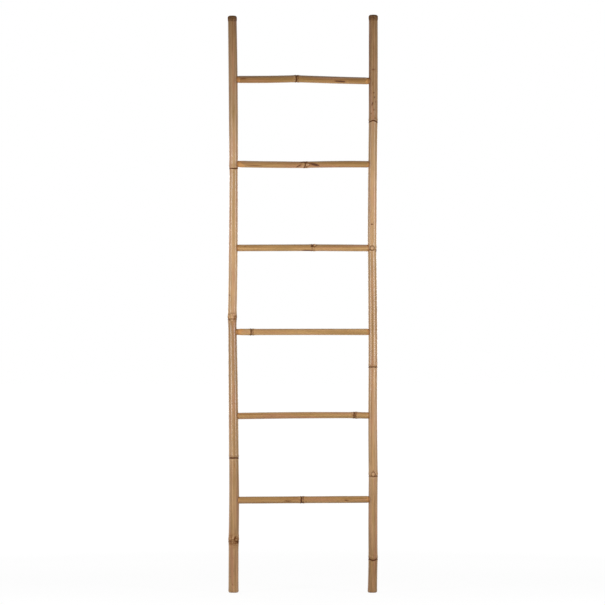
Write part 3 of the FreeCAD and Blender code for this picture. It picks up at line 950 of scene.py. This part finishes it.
# %% Wax, flakes and stains
WAX_START = (-12 * MM, -2.5 * MM)  # where it begins and is full, past the scar
WAX_END = (-1.0 * MM, -2.4 * MM)
WAX_CLOUDS = (0.3, 0.7)
WAX_COVER = 0.45
FLAKE_RANGE = (0.46, 0.34)
FLAKE_ROUGH = (0, 0.8)
FLAKE_COVER = 0.6
STAIN_FLAKES, STAIN_PATCHES = 0.6, 0.4
STAIN_RANGE = (0.46, 0.58)
STAIN_ROUGH = (0, 1.1)
STAIN_COVER = 0.85


def add_wax(skin):
    past = skin.note("past_scar")
    wax = past.rise(*WAX_START) * past.rise(*WAX_END)
    skin.cover(WAX, WAX_COVER * wax * skin.cloud.rise(*WAX_CLOUDS))


def add_rough_skin(skin):
    """Pale flakes and brown stains, strongest where the note says that the node is rough."""
    rough = skin.note("rough")
    flakes = rough * skin.flake.rise(*FLAKE_RANGE)
    skin.cover(BUD_SKIN, FLAKE_COVER * flakes.rise(*FLAKE_ROUGH))
    mottle = STAIN_FLAKES * skin.flake + STAIN_PATCHES * skin.patch
    stains = rough * mottle.rise(*STAIN_RANGE)
    skin.cover(STAIN, STAIN_COVER * stains.rise(*STAIN_ROUGH))
    return rough


print("the wax is", round((WAX_END[0] - WAX_START[0]) / MM), "mm wide")

# %% Scars and buds
SCAR_PLACE = 0.8 * MM
SCAR_WIDTH = 4.2 * MM
SCAR_FAINT = 0.25  # how dark even the palest scar is
SCAR_EVEN = 0.5    # how strong its line is between patches
SCAR_RANGE = (0.1, 0.85)
SECOND_PLACE = 7 * MM
SECOND_WIDTH = 3.4 * MM
SECOND_PATCHES = (0.25, 0.5)
BUD_RANGE = (0.55, 1.0)
BUD_COVER = 0.5
BUD_LINE = 0.40    # the note where a bud's dark outline is
BUD_LINE_WIDTH = 0.34
BUD_LINE_COVER = 0.8


def add_scars(skin, second):
    """The dark line of each scar, and how dark the second one on the ridge is."""
    past, dark = skin.note("past_scar"), skin.note("scar_dark")
    line = past.near(SCAR_PLACE, SCAR_WIDTH) * (SCAR_FAINT + dark) * (SCAR_EVEN + skin.patch)
    scar = line.rise(*SCAR_RANGE)
    skin.cover(SCAR, scar)
    patches = skin.patch.rise(*SECOND_PATCHES)
    skin.cover(SCAR, second * (past.near(SECOND_PLACE, SECOND_WIDTH) * patches * dark))
    return scar


def add_buds(skin):
    bud = skin.note("bud")
    skin.cover(BUD_SKIN, BUD_COVER * bud.rise(*BUD_RANGE))
    edge = bud.near(BUD_LINE, BUD_LINE_WIDTH)
    skin.cover(SCAR, BUD_LINE_COVER * edge)
    return edge


print("a scar's line reaches", SCAR_WIDTH, "m either way")

# %% [markdown]
# ## Marks, flecks and ends
#
# Old culms carry small dark flecks and a few larger rubbed marks. The flecks can be anywhere, so
# they are noise, while the marks are notes at the places in their table, broken up by the fibres,
# because stains follow those. The cut tops are speckled with mould, and the whittled ends show
# paler wood.

# %% Flecks and marks
FLECK_RANGE = (0.64, 0.72)
FLECK_CLOUDS = (0.5, 0.36)
FLECK_COVER = 0.6
MARK_FLECKS, MARK_PATCHES, MARK_FIBRES = 0.7, 0.6, 0.8
MARK_RANGE = (0.15, 0.9)
MARK_BLACK = (0.75, 1)
MARK_COVER = 0.95


def add_flecks(skin):
    flecks = skin.fleck.rise(*FLECK_RANGE) * skin.cloud.rise(*FLECK_CLOUDS)
    skin.cover(STAIN, FLECK_COVER * flecks)
    return flecks


def add_marks(skin):
    """Rubbed marks, brown at their edges and nearly black where they are deepest."""
    texture = MARK_FLECKS * skin.fleck + MARK_PATCHES * skin.patch + MARK_FIBRES * skin.fibre
    mark = (skin.note("mark") * texture).rise(*MARK_RANGE)
    skin.cover(skin.finish.blend(STAIN, SCAR, mark.rise(*MARK_BLACK)), MARK_COVER * mark)
    return mark


print("a full mark covers", MARK_COVER, "of the skin")

# %% Whittled ends, caps and joints
SHAVE_RAGGED = 9 * MM  # how far the fibres shift the edge of a whittled end
SHAVE_EDGE = 3 * MM
SHAVE_COVER = 0.65
CAP_COVER = 0.3
SPECK_COVER = 0.6
SPECK_RANGE = (0.42, 0.58)
CUT_COVER = 0.8
JOINT_SHADE_COVER = 0.5


def add_ends(skin):
    """Whittled wood, the speckled cap, cut end faces and the painted shade at each joint."""
    shaved = (skin.note("shaved") + SHAVE_RAGGED * (skin.fibre - MIDDLE)).rise(0, SHAVE_EDGE)
    skin.cover(WHITTLED_WOOD, SHAVE_COVER * shaved)
    cap = skin.note("cap")
    skin.cover(CAP_SPECK, cap * (CAP_COVER + SPECK_COVER * skin.speck.rise(*SPECK_RANGE)))
    cut = skin.note("cut")
    skin.cover(END_GRAIN, CUT_COVER * cut)
    # The darkening at each joint is painted shade, laid on in the stain's colour.
    skin.cover(STAIN, JOINT_SHADE_COVER * skin.note("joint"))
    return shaved, cap, cut


print("a cap is covered from", CAP_COVER, "to", round(CAP_COVER + SPECK_COVER, 2))

# %% The whole skin
GLOSS = 0.22          # the roughness of sound skin
FIBRE_GLOSS = 0.12
COAT = 0.3
COAT_WEAR = (0, 0.3)  # how worn the skin is where the coat starts to go and is gone
SKIN_SHEEN = {"Specular_IOR_Level": 0.38, "Coat_Roughness": 0.2}
# How much rougher than sound skin each of these is.
SCAR_WEAR, MARK_WEAR, SHAVE_WEAR, CUT_WEAR = 0.5, 0.3, 0.3, 0.4
CAP_WEAR, NODE_WEAR, BUD_WEAR = 0.45, 0.4, 0.4
# How much each of these stands out in the fine relief, as a share of its depth.
FIBRE_RELIEF, STREAK_RELIEF, FLECK_RELIEF, PIT_RELIEF = 0.08, 0.3, 0.5, 0.5
NODE_PITS = 2         # how much more a rough node is pitted than a cap
RELIEF_DEPTH = 0.25 * MM


def make_bamboo(name, along, dark_skin, pale_skin, second):
    """A culm's skin along the given axis. second is how dark a node's second line is."""
    skin = Skin(name, along, dark_skin)
    add_pale_and_tints(skin, pale_skin)
    add_wax(skin)
    rough = add_rough_skin(skin)
    scar = add_scars(skin, second)
    bud_edge = add_buds(skin)
    flecks = add_flecks(skin)
    mark = add_marks(skin)
    shaved, cap, cut = add_ends(skin)

    worn = (SCAR_WEAR * scar + MARK_WEAR * mark + SHAVE_WEAR * shaved + CUT_WEAR * cut
            + CAP_WEAR * cap + NODE_WEAR * rough + BUD_WEAR * bud_edge)
    pits = skin.speck * (cap + NODE_PITS * rough)
    relief = (FIBRE_RELIEF * skin.fibre + STREAK_RELIEF * skin.streak
              - FLECK_RELIEF * flecks + PIT_RELIEF * pits)
    skin.finish.surface(
        Base_Color=skin.colour,
        Roughness=GLOSS + FIBRE_GLOSS * skin.fibre + worn,
        Coat_Weight=COAT - COAT * worn.rise(*COAT_WEAR),
        Normal=skin.finish.bump(relief, RELIEF_DEPTH),
        **SKIN_SHEEN,
    )
    return skin.material


stile_bamboo = make_bamboo("stile_bamboo_skin", ALONG_Z, STILE_DARK, STILE_PALE, second=0.25)
rung_bamboo = make_bamboo("rung_bamboo_skin", ALONG_X, RUNG_DARK, RUNG_PALE, second=1.0)
for piece in (left_stile, right_stile):
    piece.data.materials.append(stile_bamboo)
for piece in rungs:
    piece.data.materials.append(rung_bamboo)
print("skins on", 2 + len(rungs), "culms")

# %% [markdown]
# ## The pegs
#
# The pegs show only as small round ends at the back. They are split from thick culm walls, so
# their ends are dense fibre bundles, which show as fine dark dots. They could be modelled again,
# but the CAD solids have the right shape and only need that finish.

# %% The pegs' finish
PEG_DOTS = (0.5, 4, 0.5)  # the noises' sizes along x, y and z, in millimetres
PEG_CLOUDS = (6, 6, 6)
PEG_CLOUD_RANGE = (0.3, 0.7)
PEG_GLOSS = 0.55
DOT_GLOSS = 0.2
DOT_RANGE = (0.52, 0.66)
DOT_COVER = 0.7
DOT_DEPTH = 0.1 * MM


def make_peg_bamboo():
    material = bpy.data.materials.new("peg_bamboo_split")
    finish = Finish(material)
    dots = finish.grain(PEG_DOTS, detail=1.0)
    cloud = finish.grain(PEG_CLOUDS, shift=4)
    colour = finish.blend(PEG_DARK, PEG_PALE, cloud.rise(*PEG_CLOUD_RANGE))
    colour = finish.blend(colour, STAIN, DOT_COVER * dots.rise(*DOT_RANGE))
    finish.surface(Base_Color=colour, Roughness=PEG_GLOSS + DOT_GLOSS * dots,
                   Normal=finish.bump(dots, DOT_DEPTH))
    return material


peg_bamboo = make_peg_bamboo()
pegs = [node for name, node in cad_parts.items() if name.startswith("peg")]
for peg in pegs:
    peg.data.materials.clear()
    peg.data.materials.append(peg_bamboo)
print("finish on", len(pegs), "pegs")

# %% [markdown]
# ## Floor, light and camera
#
# The ladder stands on a plain white floor in a white room. Two tall soft lamps stand left and
# right of the camera, and each leaves a soft bright stripe down a stile, with a darker band
# between them. Two weaker ones behind the ladder light its edges and its back, and the room fills
# the shadows. A backdrop behind the ladder would hide it from the other side, so the world's own
# colour is white.

# %% The floor
FLOOR_REACH = 30.0
FLOOR_GLOW = 1.03   # how brightly the floor shows, where 1 is white
NEAR_SHARE = 0.90   # how much of it is glow near the ladder, and not lit paper
NEAR, FAR = 0.8, 3  # where that share starts to grow and where all is glow, in metres
PAPER = paint(244, 244, 244)
WHITE = (1, 1, 1, 1)


def make_floor():
    bm = bmesh.new()
    bmesh.ops.create_grid(bm, x_segments=1, y_segments=1, size=FLOOR_REACH)
    mesh = bpy.data.meshes.new("studio_floor")
    bm.to_mesh(mesh)
    bm.free()
    floor = bpy.data.objects.new("studio_floor", mesh)
    bpy.context.scene.collection.objects.link(floor)
    return floor


def make_white_paper():
    """White paper that shows as white and, near the ladder, keeps its soft shadow."""
    material = bpy.data.materials.new("white_paper")
    finish = Finish(material)
    finish.surface(Base_Color=PAPER, Roughness=0.9, Specular_IOR_Level=0.1)
    glow = finish.node("ShaderNodeEmission", inputs={"Color": WHITE, "Strength": FLOOR_GLOW})
    paper = Reading(finish, finish.shader.outputs[0])
    place = finish.node("ShaderNodeTexCoord", output="Object")
    length = {"operation": "LENGTH"}
    away = finish.node("ShaderNodeVectorMath", length, {0: place}, output="Value")
    share = finish.seen() * (NEAR_SHARE + (1 - NEAR_SHARE) * away.rise(NEAR, FAR))
    # A Mix Shader's sockets are its share, what shows at 0 and what shows at 1.
    both = finish.node("ShaderNodeMixShader", inputs={0: share, 1: paper, 2: glow})
    finish.set(finish.tree.nodes["Material Output"].inputs["Surface"], both)
    return material


floor = make_floor()
floor.data.materials.append(make_white_paper())
print("floor:", 2 * FLOOR_REACH, "m wide")

# %% The lamps
# A lamp's name, its angle from the camera in degrees, and its power in watts.
Lamp = namedtuple("Lamp", "name angle power")
LAMP_DISTANCE = 1.8
LAMP_WIDTH = 0.55
LAMP_TALL = 1.1
LAMP_HEIGHT = 1.03
LAMP_AIM = 0.95  # the height that each lamp points at
LAMPS = (
    Lamp("left_softbox", -48, 19),
    Lamp("right_softbox", 48, 19),
    Lamp("left_back_softbox", -150, 6),
    Lamp("right_back_softbox", 150, 6),
)


def make_lamp(name, angle, power):
    """A soft rectangular lamp, turned towards the ladder's middle."""
    lamp = bpy.data.lights.new(name, "AREA")
    lamp.shape = "RECTANGLE"
    lamp.size = LAMP_WIDTH
    lamp.size_y = LAMP_TALL
    lamp.energy = power
    piece = bpy.data.objects.new(name, lamp)
    bpy.context.scene.collection.objects.link(piece)
    turn = math.radians(angle)
    x, y = LAMP_DISTANCE * math.sin(turn), -LAMP_DISTANCE * math.cos(turn)
    piece.location = (x, y, LAMP_HEIGHT)
    towards = Vector((0, 0, LAMP_AIM)) - piece.location
    piece.rotation_euler = towards.to_track_quat("-Z", "Y").to_euler()
    piece.visible_camera = False


for lamp in LAMPS:
    make_lamp(*lamp)
print(len(LAMPS), "lamps, each", LAMP_WIDTH, "by", LAMP_TALL, "m")

# %% The white room
ROOM_LIGHT = 0.14  # how brightly the room lights the ladder, where 1 is white

world = bpy.data.worlds.new("white_room")
bpy.context.scene.world = world
room = Finish(world, "Background")
room.surface(Color=WHITE, Strength=ROOM_LIGHT + (1 - ROOM_LIGHT) * room.seen())
print("the room lights the ladder at", ROOM_LIGHT)

# %% The camera
IMAGE_WIDTH = 605
MM_PER_PIXEL = 3.289
MIDDLE_COLUMN = 303.1  # pixel column midway between the stiles
FLOOR_ROW = 592.5      # pixel row of the feet
CAMERA_DISTANCE = 12.0
SENSOR_WIDTH = 36

view_width = IMAGE_WIDTH * MM_PER_PIXEL * MM
camera_data = bpy.data.cameras.new("camera")
camera_data.sensor_width = SENSOR_WIDTH
camera_data.lens = SENSOR_WIDTH * CAMERA_DISTANCE / view_width
camera = bpy.data.objects.new("camera", camera_data)
bpy.context.scene.collection.objects.link(camera)
camera.location = (
    (IMAGE_WIDTH / 2 - MIDDLE_COLUMN) * MM_PER_PIXEL * MM,
    -CAMERA_DISTANCE,
    (FLOOR_ROW - IMAGE_WIDTH / 2) * MM_PER_PIXEL * MM,
)
camera.rotation_euler = (math.radians(90), 0, 0)
bpy.context.scene.camera = camera
bpy.context.scene.view_settings.view_transform = "Standard"
print("camera lens:", round(camera_data.lens, 1), "mm")
